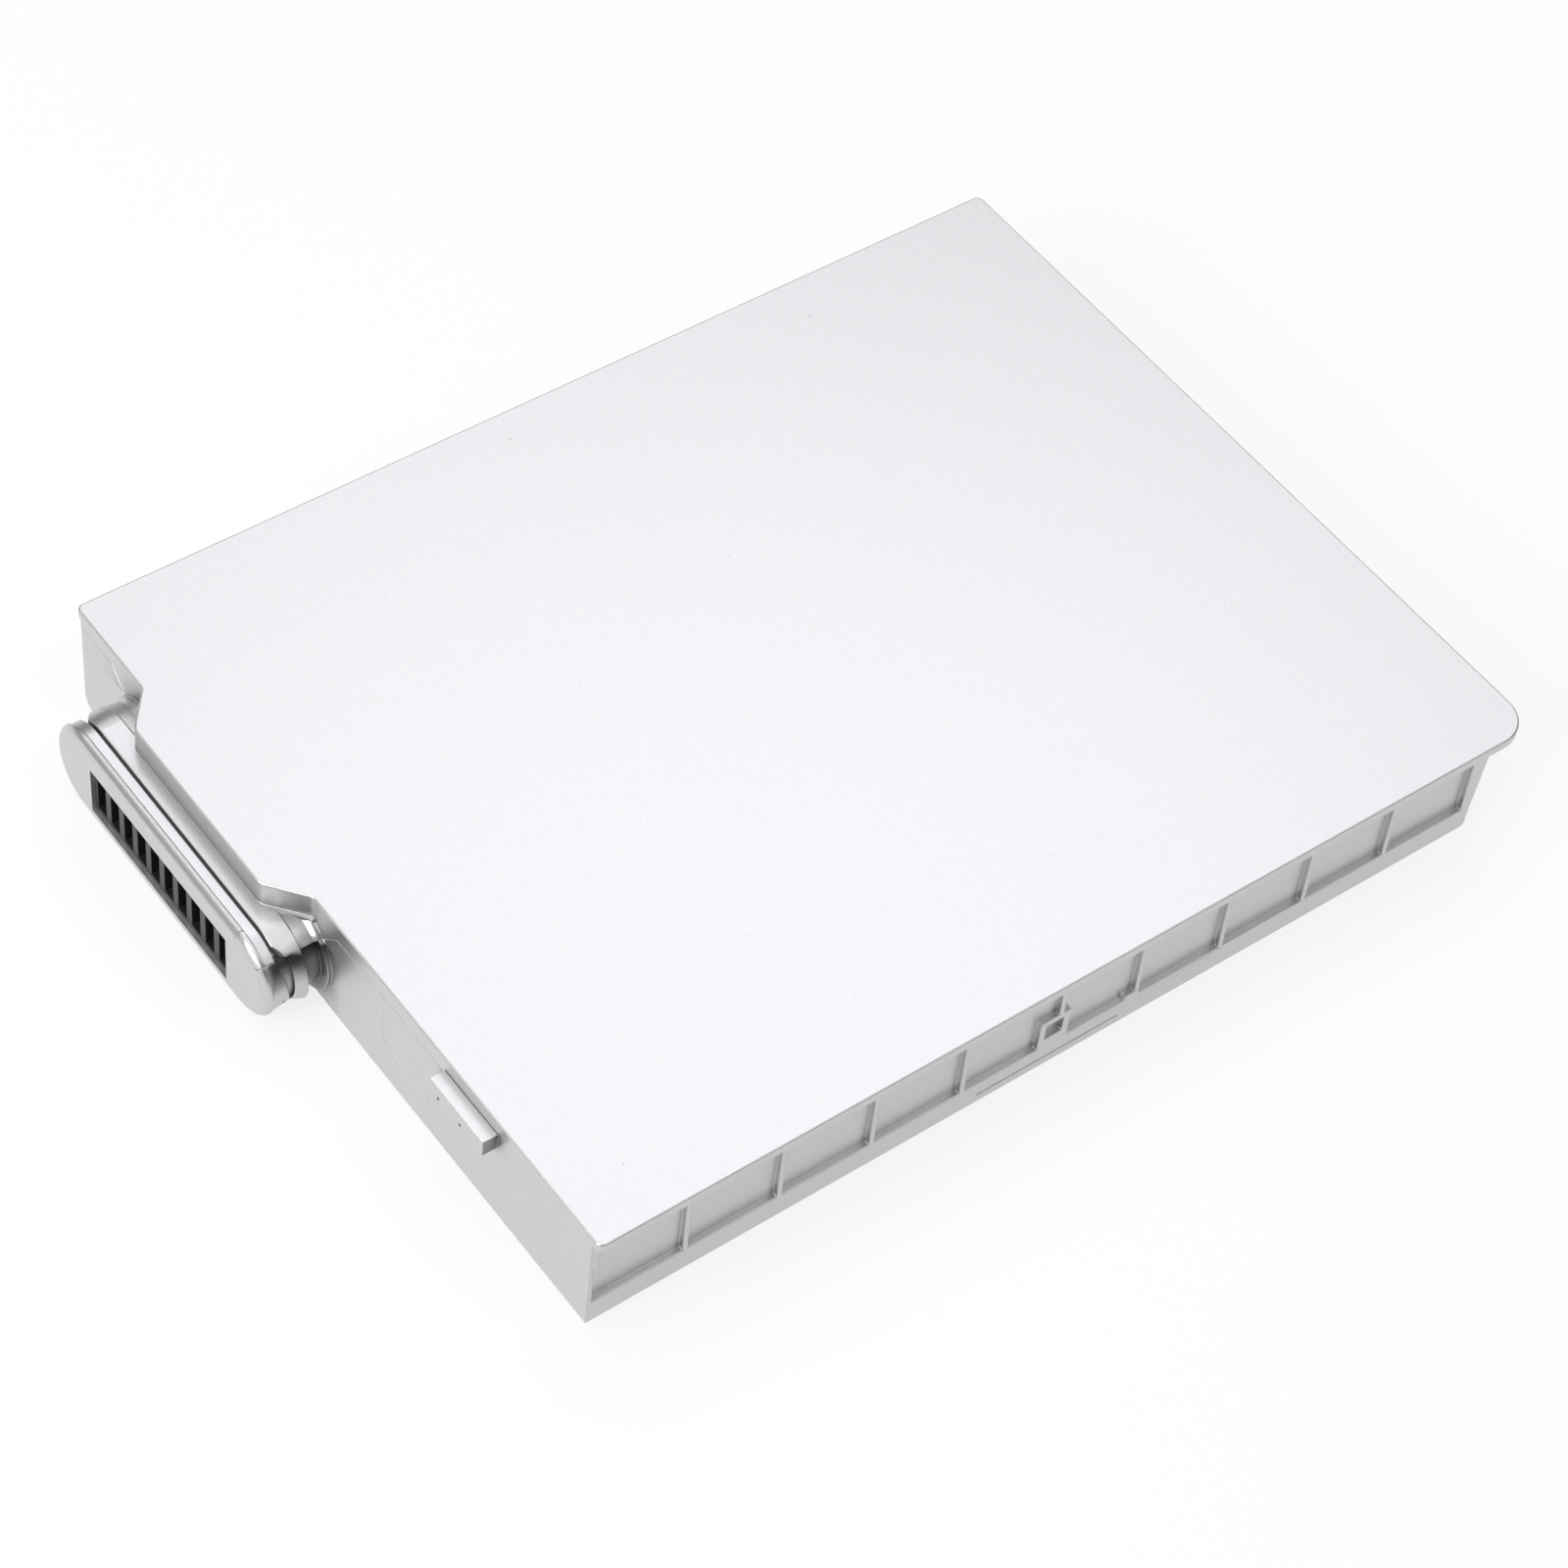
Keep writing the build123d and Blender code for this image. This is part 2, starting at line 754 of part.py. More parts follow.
# Cells: sealed flat-topped cans in shrink sleeve, two columns of them lying across the pack.
for column, low_y in enumerate((near_cells_y, middle_far_y)):
    for row in range(cell_rows):
        cell_x = cells_x + (row + 0.5) * row_pitch
        with BuildPart() as cell:
            with BuildSketch(Plane((cell_x, low_y, cell_z), z_dir=(0, 1, 0))):
                Circle(cell_diameter / 2)
            extrude(amount=cell_length)
        finish(cell, f"cell_{column * cell_rows + row + 1:02d}")

# Strips: nickel strip welded across the cell ends, with a narrow tail and a foot on the board.
strip_z = cell_z - strip_width / 2
strip_top_z = cell_z + strip_width / 2
first_x = cells_x + 0.5 * row_pitch - strip_end
half_end_x = cells_x + (cell_rows // 2 - 0.5) * row_pitch + strip_end
half_start_x = cells_x + (cell_rows // 2 + 0.5) * row_pitch - strip_end
last_x = cells_x + (cell_rows - 0.5) * row_pitch + strip_end
foot_x = board_middle_x - strip_tail_width / 2
web_top_z = strip_top_z + strip_thickness


def end_strip(name, y0, run_end_x, foot_side):
    """A strip along a row of cell ends, its tail into the bay and its foot turned onto the board."""
    y1 = y0 + strip_thickness
    foot_y0 = y0 if foot_side > 0 else y1 - strip_foot
    with BuildPart() as strip:
        block(first_x, run_end_x, y0, y1, strip_z, strip_top_z)
        block(foot_x, first_x, y0, y1, board_top_z, board_top_z + strip_tail_width)
        block(
            foot_x,
            foot_x + strip_tail_width,
            foot_y0,
            foot_y0 + strip_foot,
            board_top_z,
            board_top_z + strip_thickness,
        )
    finish(strip, name)


end_strip("strip_near", near_cells_y - strip_thickness, last_x, 1)
end_strip("strip_far", far_cells_end_y, last_x, -1)
end_strip("strip_negative", middle_y, half_end_x, -1)
end_strip("strip_positive", middle_far_y - strip_thickness, half_end_x, 1)

# Middle strip: one strip folded over the gap between the columns, joining their inner ends.
with BuildPart() as strip_middle:
    block(half_start_x, last_x, middle_y, middle_y + strip_thickness, strip_z, web_top_z)
    block(half_start_x, last_x, middle_far_y - strip_thickness, middle_far_y, strip_z, web_top_z)
    block(half_start_x, last_x, middle_y, middle_far_y, strip_top_z, web_top_z)
finish(strip_middle, "strip_middle")

# Sense ribbon: narrow tap that lies on the fold and the middle board and drops to the circuit board.
ribbon_y = (middle_y + middle_far_y - ribbon_width) / 2
ribbon_drop_x = board_end_x - strip_thickness
ribbon_top_z = web_top_z + strip_thickness
with BuildPart() as sense_ribbon:
    block(
        ribbon_drop_x,
        half_start_x + ribbon_overlap,
        ribbon_y,
        ribbon_y + ribbon_width,
        web_top_z,
        ribbon_top_z,
    )
    block(
        ribbon_drop_x,
        board_end_x,
        ribbon_y,
        ribbon_y + ribbon_width,
        board_top_z,
        ribbon_top_z,
    )
    block(
        board_end_x - strip_foot,
        board_end_x,
        ribbon_y,
        ribbon_y + ribbon_width,
        board_top_z,
        board_top_z + strip_thickness,
    )
finish(sense_ribbon, "sense_ribbon")

# Insulating boards: one between each outer strip and its wall, one between the two short strips.
paper_end_x = inner_end_x - seat_gap
paper_z = floor + seat_gap

with BuildPart() as paper_near:
    near_paper_y = inner_y + seat_gap
    block(cells_x, paper_end_x, near_paper_y, near_paper_y + paper_thickness, paper_z, paper_z + paper_height)
finish(paper_near, "paper_near")

with BuildPart() as paper_far:
    far_paper_y = inner_far_y - seat_gap
    block(cells_x, paper_end_x, far_paper_y - paper_thickness, far_paper_y, paper_z, paper_z + paper_height)
finish(paper_far, "paper_far")

with BuildPart() as paper_middle:
    block(
        cells_x,
        (half_end_x + half_start_x) / 2,
        middle_y + strip_thickness + seat_gap,
        middle_far_y - strip_thickness - seat_gap,
        paper_z,
        web_top_z,
    )
finish(paper_middle, "paper_middle")
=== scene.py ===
# A slim laptop battery on a white table, dressed around its solid model.
# Lengths are in metres. X runs away from the plug, Y from the ribbed side to the plain one, Z up.

from math import cos, radians, sin

import bmesh
import bpy
from mathutils import Matrix, Vector


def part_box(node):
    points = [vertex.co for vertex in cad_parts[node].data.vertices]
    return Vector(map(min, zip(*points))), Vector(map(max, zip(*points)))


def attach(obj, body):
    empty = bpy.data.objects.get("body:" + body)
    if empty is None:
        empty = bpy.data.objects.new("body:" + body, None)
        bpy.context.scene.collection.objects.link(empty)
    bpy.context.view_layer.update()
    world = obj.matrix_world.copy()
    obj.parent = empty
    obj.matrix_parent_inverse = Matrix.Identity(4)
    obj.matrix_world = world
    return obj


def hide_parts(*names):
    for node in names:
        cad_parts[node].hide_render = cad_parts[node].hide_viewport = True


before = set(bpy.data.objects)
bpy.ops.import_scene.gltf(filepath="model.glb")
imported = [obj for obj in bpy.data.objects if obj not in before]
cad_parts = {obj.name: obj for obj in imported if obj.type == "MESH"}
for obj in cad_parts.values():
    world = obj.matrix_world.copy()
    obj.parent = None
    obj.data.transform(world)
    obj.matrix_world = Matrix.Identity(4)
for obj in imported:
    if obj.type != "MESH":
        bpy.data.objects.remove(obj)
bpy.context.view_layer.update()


# Bottom case
# The tray of the pack, injection moulded in one piece with its ribs, its catch pocket and the lower
# part of the plug's hood. It is sprayed silver; every edge is broken by a hair, those of the ribs more.
hair_edge = 0.00008
rib_edge = 0.00018
rib_foot_z = 0.0047
crease_angle = radians(28)
flat_angle = radians(0.4)
merge_distance = 1e-6
plane_tolerance = 1e-5


def moulded_shell(node, name, paint, rib_y=None):
    """A shell with the solid's own form, its facets merged and its sharp edges rounded."""
    mesh = bpy.data.meshes.new(name)
    work = bmesh.new()
    work.from_mesh(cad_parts[node].data)
    bmesh.ops.remove_doubles(work, verts=work.verts, dist=merge_distance)
    bmesh.ops.dissolve_limit(work, angle_limit=flat_angle, verts=work.verts, edges=work.edges)
    for face in work.faces:
        face.smooth = True
    weight = work.edges.layers.float.new("bevel_weight_edge")
    for edge in work.edges:
        if edge.is_manifold and edge.calc_face_angle() > crease_angle:
            on_rib = rib_y is not None
            for end in edge.verts:
                on_rib = on_rib and abs(end.co.y - rib_y) < plane_tolerance and end.co.z > rib_foot_z
            edge[weight] = 1 if on_rib else hair_edge / rib_edge
    work.to_mesh(mesh)
    work.free()
    mesh.set_sharp_from_angle(angle=crease_angle)
    mesh.materials.clear()
    mesh.materials.append(paint)
    shell = bpy.data.objects.new(name, mesh)
    bpy.context.scene.collection.objects.link(shell)
    rounding = shell.modifiers.new("edge rounding", "BEVEL")
    rounding.limit_method = "WEIGHT"
    rounding.width = rib_edge
    rounding.segments = 2
    rounding.use_clamp_overlap = False
    shell.modifiers.new("flat face shading", "WEIGHTED_NORMAL").keep_sharp = True
    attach(shell, "root")
    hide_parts(node)


def material(name, colour, roughness, metallic=0.0):
    """A material with a plain shader. Gives it with its nodes, links and shader."""
    finish = bpy.data.materials.new(name)
    finish.use_nodes = True
    nodes = finish.node_tree.nodes
    shader = nodes["Principled BSDF"]
    shader.inputs["Base Color"].default_value = (*colour, 1)
    shader.inputs["Roughness"].default_value = roughness
    shader.inputs["Metallic"].default_value = metallic
    return finish, nodes, finish.node_tree.links, shader


def speckle(nodes, links, shader, colour, size, depth, bump_height):
    """Breaks a colour up by a fine random grain of a given size and gives the surface its grain."""
    place = nodes.new("ShaderNodeTexCoord")
    grain = nodes.new("ShaderNodeTexVoronoi")
    grain.inputs["Scale"].default_value = 1 / size
    shade = nodes.new("ShaderNodeMix")
    shade.data_type = "RGBA"
    shade.inputs["A"].default_value = (*[channel * (1 - depth) for channel in colour], 1)
    shade.inputs["B"].default_value = (*[min(1, channel * (1 + depth)) for channel in colour], 1)
    bump = nodes.new("ShaderNodeBump")
    bump.inputs["Strength"].default_value = 1
    bump.inputs["Distance"].default_value = bump_height
    links.new(place.outputs["Object"], grain.inputs["Vector"])
    links.new(grain.outputs["Color"], shade.inputs["Factor"])
    links.new(shade.outputs["Result"], shader.inputs["Base Color"])
    links.new(grain.outputs["Distance"], bump.inputs["Height"])
    links.new(bump.outputs["Normal"], shader.inputs["Normal"])
    return shade.outputs["Result"], place.outputs["Object"]


def ramp(nodes, links, value, start, end):
    """Nought where a value is at start, one where it is at end, and smooth between."""
    step = nodes.new("ShaderNodeMapRange")
    step.interpolation_type = "SMOOTHSTEP"
    step.inputs["From Min"].default_value = start
    step.inputs["From Max"].default_value = end
    links.new(value, step.inputs["Value"])
    return step.outputs["Result"]


def joined(nodes, links, operation, first, second):
    """The result of one operation on two values."""
    step = nodes.new("ShaderNodeMath")
    step.operation = operation
    links.new(first, step.inputs[0])
    links.new(second, step.inputs[1])
    return step.outputs["Value"]


# The silver paint carries painted shade in its colour, set up below: darker in sheltered corners and on
# sheltered upright faces.
silver_colour = (0.62, 0.63, 0.625)
silver_paint_with_shade, nodes, links, shader = material("silver_paint_with_shade", silver_colour, 0.34, 0.80)
grained_silver, place = speckle(
    nodes, links, shader, silver_colour, size=0.00024, depth=0.035, bump_height=0.000004
)

# Painted shade darkens the silver where the pack shades itself: in the corner between the plug's near
# end and the wall, and just under the hood's seam, by ambient occlusion within set windows.
painted_shade_colour = (0.075, 0.075, 0.080)
self_occlusion = nodes.new("ShaderNodeAmbientOcclusion")
self_occlusion.only_local = True
self_occlusion.samples = 8
self_occlusion.inputs["Distance"].default_value = 0.012
axes = nodes.new("ShaderNodeSeparateXYZ")
links.new(place, axes.inputs["Vector"])
under_seam = ramp(nodes, links, axes.outputs["Z"], 0.0138, 0.0085)
in_corner = ramp(nodes, links, self_occlusion.outputs["AO"], 0.35, 0.92)
unshaded = joined(nodes, links, "MINIMUM", in_corner, under_seam)
for axis, shaded_at, free in (
    ("X", -0.0835, -0.0800),
    ("X", -0.0935, -0.0955),
    ("Y", 0.0070, 0.0140),
    ("Y", 0.0005, -0.0055),
    ("Z", 0.0140, 0.0145),
):
    unshaded = joined(nodes, links, "MAXIMUM", unshaded, ramp(nodes, links, axes.outputs[axis], shaded_at, free))
painted_shade = nodes.new("ShaderNodeMix")
painted_shade.data_type = "RGBA"
painted_shade.inputs["A"].default_value = (*painted_shade_colour, 1)
links.new(unshaded, painted_shade.inputs["Factor"])
links.new(grained_silver, painted_shade.inputs["B"])

# Lighter painted shade darkens the upright faces that look into the plug's hood or into the bar, where
# they are sheltered.
wall_shade_colour = (0.20, 0.19, 0.21)
facing = nodes.new("ShaderNodeNewGeometry")
slope = nodes.new("ShaderNodeSeparateXYZ")
links.new(facing.outputs["Normal"], slope.inputs["Vector"])
bright = ramp(nodes, links, self_occlusion.outputs["AO"], 0.45, 0.97)
for value, wall_shaded_at, free in (
    (slope.outputs["Z"], 0.2, 0.6),
    (axes.outputs["Z"], 0.0152, 0.0146),
    (axes.outputs["X"], -0.0740, -0.0720),
):
    bright = joined(nodes, links, "MAXIMUM", bright, ramp(nodes, links, value, wall_shaded_at, free))
wall_shade = nodes.new("ShaderNodeMix")
wall_shade.data_type = "RGBA"
wall_shade.inputs["A"].default_value = (*wall_shade_colour, 1)
links.new(bright, wall_shade.inputs["Factor"])
links.new(painted_shade.outputs["Result"], wall_shade.inputs["B"])
links.new(wall_shade.outputs["Result"], shader.inputs["Base Color"])
case_front_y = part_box("bottom_case")[0][1]
moulded_shell("bottom_case", "case_shell", silver_paint_with_shade, case_front_y)

# Faint witness lines stand proud of the wall between the plug and the bar, where the mould was joined.
witness_runs = (
    ((-0.0165, 0.0185), (-0.0161, 0.0084), (-0.02175, 0.0079)),
    ((-0.0231, 0.0115), (-0.0286, 0.0110)),
    ((-0.0287, 0.0080), (-0.0291, 0.0010)),
)
witness_x = -0.0848
witness_radius = 0.000035
line_tree = bpy.data.node_groups.new("raised line", "GeometryNodeTree")
line_tree.interface.new_socket("Path", in_out="INPUT", socket_type="NodeSocketGeometry")
line_tree.interface.new_socket("Radius", in_out="INPUT", socket_type="NodeSocketFloat")
line_tree.interface.new_socket("Finish", in_out="INPUT", socket_type="NodeSocketMaterial")
line_tree.interface.new_socket("Geometry", in_out="OUTPUT", socket_type="NodeSocketGeometry")
given = line_tree.nodes.new("NodeGroupInput")
path = line_tree.nodes.new("GeometryNodeMeshToCurve")
profile = line_tree.nodes.new("GeometryNodeCurvePrimitiveCircle")
profile.inputs["Resolution"].default_value = 8
sweep = line_tree.nodes.new("GeometryNodeCurveToMesh")
realized = line_tree.nodes.new("GeometryNodeRealizeInstances")
finished = line_tree.nodes.new("GeometryNodeSetMaterial")
result = line_tree.nodes.new("NodeGroupOutput")
line_tree.links.new(given.outputs["Path"], path.inputs["Mesh"])
line_tree.links.new(given.outputs["Radius"], profile.inputs["Radius"])
line_tree.links.new(path.outputs["Curve"], sweep.inputs["Curve"])
line_tree.links.new(profile.outputs["Curve"], sweep.inputs["Profile Curve"])
line_tree.links.new(sweep.outputs["Mesh"], realized.inputs["Geometry"])
line_tree.links.new(realized.outputs["Geometry"], finished.inputs["Geometry"])
line_tree.links.new(given.outputs["Finish"], finished.inputs["Material"])
line_tree.links.new(finished.outputs["Geometry"], result.inputs["Geometry"])


def grown(name, points, edges, tree, values):
    """A plain mesh grown by a node tree from points and edges. Values are keyed by the tree's inputs."""
    seed_mesh = bpy.data.meshes.new(name)
    seed_mesh.from_pydata(points, edges, [])
    piece = bpy.data.objects.new(name, seed_mesh)
    bpy.context.scene.collection.objects.link(piece)
    growth = piece.modifiers.new(tree.name, "NODES")
    growth.node_group = tree
    for item in tree.interface.items_tree:
        if item.in_out == "INPUT" and item.name in values:
            growth[item.identifier] = values[item.name]
    grown_piece = piece.evaluated_get(bpy.context.evaluated_depsgraph_get())
    plain = bpy.data.meshes.new_from_object(grown_piece)
    piece.modifiers.remove(growth)
    piece.data = plain
    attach(piece, "root")


line_points = []
line_edges = []
for run in witness_runs:
    for step, (y, z) in enumerate(run):
        if step:
            line_edges.append((len(line_points) - 1, len(line_points)))
        line_points.append((witness_x, y, z))
line_values = {"Radius": witness_radius, "Finish": silver_paint_with_shade}
grown("witness_lines", line_points, line_edges, line_tree, line_values)

# Two small dark marks sit low on the outer face of the bar, as shallow domes grown on points.
spot_tree = bpy.data.node_groups.new("spots", "GeometryNodeTree")
spot_tree.interface.new_socket("Places", in_out="INPUT", socket_type="NodeSocketGeometry")
for name in ("Radius", "Height", "Variation", "Tilt"):
    spot_tree.interface.new_socket(name, in_out="INPUT", socket_type="NodeSocketFloat")
spot_tree.interface.new_socket("Seed", in_out="INPUT", socket_type="NodeSocketInt")
spot_tree.interface.new_socket("Finish", in_out="INPUT", socket_type="NodeSocketMaterial")
spot_tree.interface.new_socket("Geometry", in_out="OUTPUT", socket_type="NodeSocketGeometry")
given = spot_tree.nodes.new("NodeGroupInput")
dome = spot_tree.nodes.new("GeometryNodeMeshUVSphere")
dome.inputs["Segments"].default_value = 10
dome.inputs["Rings"].default_value = 6
dome.inputs["Radius"].default_value = 1
least = spot_tree.nodes.new("ShaderNodeMath")
least.operation = "SUBTRACT"
least.inputs[0].default_value = 1
most = spot_tree.nodes.new("ShaderNodeMath")
most.operation = "ADD"
most.inputs[0].default_value = 1
chance = spot_tree.nodes.new("FunctionNodeRandomValue")
chance.data_type = "FLOAT"
chance_in = {socket.name: socket for socket in chance.inputs if socket.enabled}
chance_out = [socket for socket in chance.outputs if socket.enabled][0]
width = spot_tree.nodes.new("ShaderNodeMath")
width.operation = "MULTIPLY"
scale = spot_tree.nodes.new("ShaderNodeCombineXYZ")
lean = spot_tree.nodes.new("ShaderNodeCombineXYZ")
rotation = spot_tree.nodes.new("FunctionNodeEulerToRotation")
copies = spot_tree.nodes.new("GeometryNodeInstanceOnPoints")
realized = spot_tree.nodes.new("GeometryNodeRealizeInstances")
finished = spot_tree.nodes.new("GeometryNodeSetMaterial")
result = spot_tree.nodes.new("NodeGroupOutput")
spot_tree.links.new(given.outputs["Variation"], least.inputs[1])
spot_tree.links.new(given.outputs["Variation"], most.inputs[1])
spot_tree.links.new(least.outputs["Value"], chance_in["Min"])
spot_tree.links.new(most.outputs["Value"], chance_in["Max"])
spot_tree.links.new(given.outputs["Seed"], chance_in["Seed"])
spot_tree.links.new(chance_out, width.inputs[0])
spot_tree.links.new(given.outputs["Radius"], width.inputs[1])
spot_tree.links.new(width.outputs["Value"], scale.inputs["X"])
spot_tree.links.new(width.outputs["Value"], scale.inputs["Y"])
spot_tree.links.new(given.outputs["Height"], scale.inputs["Z"])
spot_tree.links.new(given.outputs["Tilt"], lean.inputs["X"])
spot_tree.links.new(lean.outputs["Vector"], rotation.inputs["Euler"])
spot_tree.links.new(given.outputs["Places"], copies.inputs["Points"])
spot_tree.links.new(dome.outputs["Mesh"], copies.inputs["Instance"])
spot_tree.links.new(scale.outputs["Vector"], copies.inputs["Scale"])
spot_tree.links.new(rotation.outputs["Rotation"], copies.inputs["Rotation"])
spot_tree.links.new(copies.outputs["Instances"], realized.inputs["Geometry"])
spot_tree.links.new(realized.outputs["Geometry"], finished.inputs["Geometry"])
spot_tree.links.new(given.outputs["Finish"], finished.inputs["Material"])
spot_tree.links.new(finished.outputs["Geometry"], result.inputs["Geometry"])
nick_places = ((-0.08725, -0.0350, 0.01690), (-0.08725, -0.04065, 0.01695))
nick_grey, nodes, links, shader = material("nick_grey", (0.07, 0.07, 0.07), 0.6)
nick_values = {
    "Radius": 0.00038,
    "Height": 0.00038,
    "Variation": 0.05,
    "Tilt": 0.0,
    "Seed": 3,
    "Finish": nick_grey,
}
grown("bar_nicks", nick_places, [], spot_tree, nick_values)


# Contact block
# A black glass-filled moulding pushed into the case from behind, with a row of slots for the blades
# of the laptop's socket. Its flange bears on the inside of the case wall.
block_colour = (0.018, 0.019, 0.020)
block_black, nodes, links, shader = material("block_black", block_colour, 0.38)
speckle(nodes, links, shader, block_colour, size=0.00015, depth=0.25, bump_height=0.000003)
moulded_shell("contact_block", "block_shell", block_black)


# Contacts
# Spring blades stamped from thin sheet, plated with gold, one on edge in each slot. Their tails are
# soldered to the top of the board.


def painted(node, finish):
    """Gives a solid that keeps its own mesh one finish."""
    node.data.materials.clear()
    node.data.materials.append(finish)


contact_colour = (0.83, 0.62, 0.28)
contact_gold, nodes, links, shader = material("contact_gold", contact_colour, 0.28, 1.0)
speckle(nodes, links, shader, contact_colour, size=0.0001, depth=0.06, bump_height=0.000001)
for name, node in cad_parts.items():
    if name.startswith("contact_") and name != "contact_block":
        painted(node, contact_gold)


# Circuit board and its parts
# Glass fibre with a green mask on two posts of the case, carrying the chips that guard and gauge the
# cells, two power switches, a fuse, a shunt resistor and a thermistor.
board_colour = (0.02, 0.16, 0.06)
board_mask, nodes, links, shader = material("board_mask", board_colour, 0.35)
speckle(nodes, links, shader, board_colour, size=0.0012, depth=0.15, bump_height=0.000004)
painted(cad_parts["circuit_board"], board_mask)

tin_colour = (0.72, 0.72, 0.70)
solder_tin, nodes, links, shader = material("solder_tin", tin_colour, 0.30, 1.0)
speckle(nodes, links, shader, tin_colour, size=0.00012, depth=0.08, bump_height=0.000002)


def two_tone(node, main, other, takes_other):
    """A copy of a solid in two finishes, the second on the faces that pass a test."""
    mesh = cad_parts[node].data.copy()
    mesh.materials.clear()
    mesh.materials.append(main)
    mesh.materials.append(other)
    for face in mesh.polygons:
        face.material_index = 1 if takes_other(face) else 0
    piece = bpy.data.objects.new(node + "_dressed", mesh)
    bpy.context.scene.collection.objects.link(piece)
    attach(piece, "root")
    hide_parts(node)


def beyond(middle_x, half_width):
    """A test for faces that lie further than half a width from a middle along X."""
    return lambda face: abs(face.center.x - middle_x) > half_width


chip_colour = (0.022, 0.022, 0.024)
leg_reach = 0.0010
chip_black, nodes, links, shader = material("chip_black", chip_colour, 0.55)
speckle(nodes, links, shader, chip_colour, size=0.0002, depth=0.2, bump_height=0.000004)
for name in ("gauge_chip", "monitor_chip", "charge_switch", "discharge_switch"):
    low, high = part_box(name)
    legs = beyond((low[0] + high[0]) / 2, (high[0] - low[0]) / 2 - leg_reach)
    two_tone(name, chip_black, solder_tin, legs)

ceramic_colour = (0.10, 0.095, 0.09)
cap_length = 0.0008
ceramic_dark, nodes, links, shader = material("ceramic_dark", ceramic_colour, 0.5)
speckle(nodes, links, shader, ceramic_colour, size=0.0002, depth=0.2, bump_height=0.000003)
for name in ("sense_resistor", "board_fuse", "thermistor"):
    low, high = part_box(name)
    caps = beyond((low[0] + high[0]) / 2, (high[0] - low[0]) / 2 - cap_length)
    two_tone(name, ceramic_dark, solder_tin, caps)


# Cells
# Sixteen sealed steel cans in blue shrink sleeve, two columns of eight lying across the pack. Low ribs
# of the case keep them apart and the strips welded to their ends join them.
sleeve_colour = (0.05, 0.20, 0.36)
cell_sleeve, nodes, links, shader = material("cell_sleeve", sleeve_colour, 0.30)
speckle(nodes, links, shader, sleeve_colour, size=0.002, depth=0.08, bump_height=0.00001)
steel_colour = (0.60, 0.60, 0.58)
can_steel, nodes, links, shader = material("can_steel", steel_colour, 0.35, 1.0)
speckle(nodes, links, shader, steel_colour, size=0.0005, depth=0.06, bump_height=0.000003)
for name in sorted(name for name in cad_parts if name.startswith("cell_")):
    two_tone(name, cell_sleeve, can_steel, lambda face: abs(face.normal.y) > 0.5)


# Nickel strips and the sense ribbon
# Rolled nickel strip, spot welded across the cell ends to make four groups in series. Feet of the
# strips and the end of the ribbon are soldered to the board.
nickel_colour = (0.66, 0.63, 0.58)
nickel_roll, nodes, links, shader = material("nickel_roll", nickel_colour, 0.32, 1.0)
speckle(nodes, links, shader, nickel_colour, size=0.0004, depth=0.08, bump_height=0.000003)
for name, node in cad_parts.items():
    if name.startswith("strip_") or name == "sense_ribbon":
        painted(node, nickel_roll)

# Four weld spots hold a strip to each cell end, as small raised rounds on its outer face.
spot_spacing = 0.0014
strip_thickness = 0.0002
middle_low, middle_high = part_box("strip_middle")
weld_rows = (
    (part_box("strip_near")[0][1], range(1, 9)),
    (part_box("strip_far")[1][1], range(9, 17)),
    (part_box("strip_negative")[1][1], range(1, 5)),
    (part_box("strip_positive")[0][1], range(9, 13)),
    (middle_low[1] + strip_thickness, range(5, 9)),
    (middle_high[1] - strip_thickness, range(13, 17)),
)
weld_places = []
for face_y, cells in weld_rows:
    for cell in cells:
        low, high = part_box(f"cell_{cell:02d}")
        middle_x = (low[0] + high[0]) / 2
        middle_z = (low[2] + high[2]) / 2
        for side_x in (-spot_spacing, spot_spacing):
            for side_z in (-spot_spacing, spot_spacing):
                weld_places.append((middle_x + side_x, face_y, middle_z + side_z))
weld_values = {
    "Radius": 0.0005,
    "Height": 0.00007,
    "Variation": 0.12,
    "Tilt": radians(90),
    "Seed": 4,
    "Finish": nickel_roll,
}
grown("weld_spots", weld_places, [], spot_tree, weld_values)


# Insulating boards
# Pressed fibre board between the strips and the walls, and between the two short strips. Each is held
# in its gap by the fit alone.
fibre_colour = (0.30, 0.36, 0.32)
fibre_board, nodes, links, shader = material("fibre_board", fibre_colour, 0.8)
speckle(nodes, links, shader, fibre_colour, size=0.0006, depth=0.2, bump_height=0.00002)
for name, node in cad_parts.items():
    if name.startswith("paper_"):
        painted(node, fibre_board)


# Top cover
# The flat lid, moulded in one piece with its tongue over the plug, its skirt and the upper part of
# the hood, sprayed with the same silver and welded to the case.
moulded_shell("top_cover", "cover_shell", silver_paint_with_shade)

# A few grey specks of dust lie on the plate, where the photograph shows them.
speck_places = (
    (0.0529, 0.0635),
    (-0.0738, -0.0620),
    (0.0231, -0.0527),
    (0.0138, -0.0508),
    (-0.0064, 0.0663),
    (-0.0076, 0.0647),
    (0.0089, 0.0261),
)
speck_grey, nodes, links, shader = material("speck_grey", (0.34, 0.34, 0.35), 0.5)
plate_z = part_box("top_cover")[1][2]
speck_values = {
    "Radius": 0.00013,
    "Height": 0.00002,
    "Variation": 0.4,
    "Tilt": 0.0,
    "Seed": 7,
    "Finish": speck_grey,
}
speck_points = [(x, y, plate_z) for x, y in speck_places]
grown("plate_specks", speck_points, [], spot_tree, speck_values)


# Table and light
# A white table under a broad overhead light, with smaller soft lights behind, at the left and in front.
# The camera, and what mirrors the table, see it nearly white with the pack's shadow on it; the light
# that it throws back is weaker.
table_size = 30.0
table_drop = 0.0002
table_seen = (0.94, 0.94, 0.94, 1)
table_thrown = (0.40, 0.40, 0.40, 1)
table_glow = 0.8
room_light = 0.05


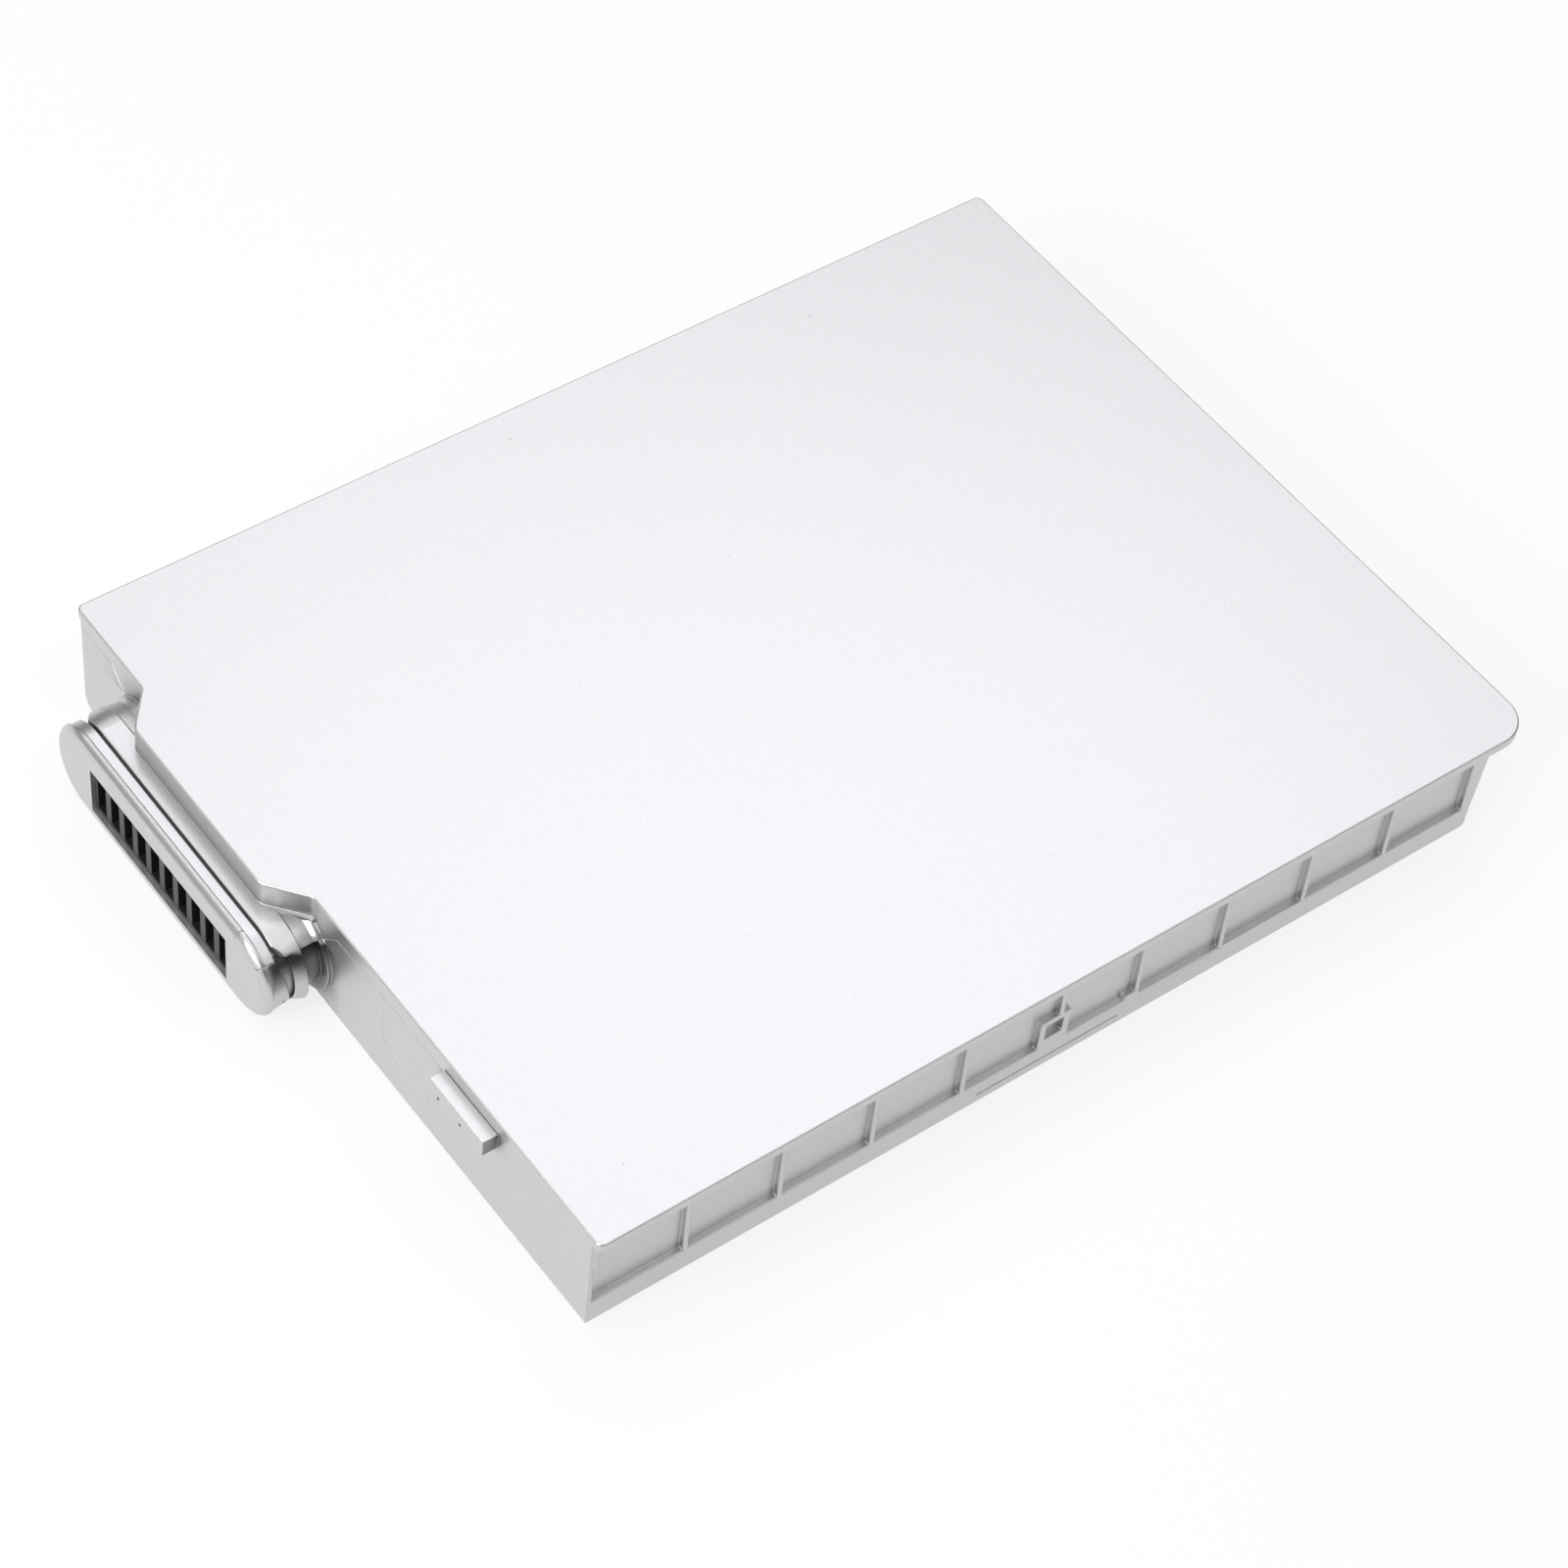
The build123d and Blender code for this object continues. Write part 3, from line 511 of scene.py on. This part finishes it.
def seen_directly(nodes, links):
    """One for a ray from the camera, or off or through something glossy, and nought for the others."""
    path = nodes.new("ShaderNodeLightPath")
    total = path.outputs["Is Camera Ray"]
    for kind in ("Is Glossy Ray", "Is Transmission Ray"):
        total = joined(nodes, links, "MAXIMUM", total, path.outputs[kind])
    return total


table_white, nodes, links, shader = material("table_white", table_seen[:3], 0.9)
shader.inputs["Specular IOR Level"].default_value = 0
direct = seen_directly(nodes, links)
tone = nodes.new("ShaderNodeMix")
tone.data_type = "RGBA"
tone.inputs["A"].default_value = table_thrown
tone.inputs["B"].default_value = table_seen
share = nodes.new("ShaderNodeMath")
share.operation = "MULTIPLY"
share.inputs[1].default_value = table_glow
glow = nodes.new("ShaderNodeEmission")
blend = nodes.new("ShaderNodeMixShader")
links.new(direct, tone.inputs["Factor"])
links.new(tone.outputs["Result"], shader.inputs["Base Color"])
links.new(direct, share.inputs[0])
links.new(share.outputs["Value"], blend.inputs["Fac"])
links.new(shader.outputs["BSDF"], blend.inputs[1])
links.new(glow.outputs["Emission"], blend.inputs[2])
links.new(blend.outputs["Shader"], nodes["Material Output"].inputs["Surface"])
table_mesh = bpy.data.meshes.new("table")
half = table_size / 2
corners = [(-half, -half), (half, -half), (half, half), (-half, half)]
table_mesh.from_pydata([(x, y, -table_drop) for x, y in corners], [], [(0, 1, 2, 3)])
table_mesh.materials.append(table_white)
table = bpy.data.objects.new("table", table_mesh)
bpy.context.scene.collection.objects.link(table)

room = bpy.data.worlds.new("room")
bpy.context.scene.world = room
room.use_nodes = True
room.node_tree.nodes["Background"].inputs["Color"].default_value = (1, 1, 1, 1)
room.node_tree.nodes["Background"].inputs["Strength"].default_value = room_light


def soft_light(name, place, width, power, tint=(1, 1, 1)):
    """A round soft light at a place, turned to the middle of the pack."""
    lamp = bpy.data.lights.new(name, "AREA")
    lamp.shape = "DISK"
    lamp.size = width
    lamp.energy = power
    lamp.color = tint
    light = bpy.data.objects.new(name, lamp)
    light.location = place
    light.rotation_euler = (-Vector(place)).to_track_quat("-Z", "Y").to_euler()
    bpy.context.scene.collection.objects.link(light)


lilac_white = (0.985, 0.955, 1.0)
soft_light("overhead", (0.12, 0.14, 1.30), 2.4, 17.8, lilac_white)
soft_light("behind", (0.75, 0.83, 1.15), 1.2, 2.6, lilac_white)
soft_light("left", (-0.75, 0.65, 0.75), 0.8, 1.2)
soft_light("plug_side", (-1.0, -0.1, 0.6), 0.8, 8.0)
soft_light("front", (0.55, -0.85, 0.80), 0.9, 1.8, lilac_white)

# The camera's place and turn, fitted to the edges of the pack in the photograph
camera_place = Vector((-0.303141, -0.342461, 0.540341))
view_azimuth = radians(-41.832)
view_elevation = radians(49.910)
view_roll = radians(7.120)
camera_sensor = 36.0
image_width = 1600
focal_pixels = 4481.85
level = Vector((-sin(view_azimuth), cos(view_azimuth), 0))
forward = cos(view_elevation) * level - sin(view_elevation) * Vector((0, 0, 1))
level_right = forward.cross(Vector((0, 0, 1))).normalized()
level_up = level_right.cross(forward)
right = cos(view_roll) * level_right + sin(view_roll) * level_up
up = right.cross(forward)
turn = Matrix((right, up, -forward)).transposed().to_4x4()
camera_data = bpy.data.cameras.new("camera")
camera_data.sensor_width = camera_sensor
camera_data.lens = camera_sensor * focal_pixels / image_width
camera = bpy.data.objects.new("camera", camera_data)
camera.matrix_world = Matrix.Translation(camera_place) @ turn
bpy.context.scene.collection.objects.link(camera)
bpy.context.scene.camera = camera
bpy.context.scene.view_settings.view_transform = "Standard"
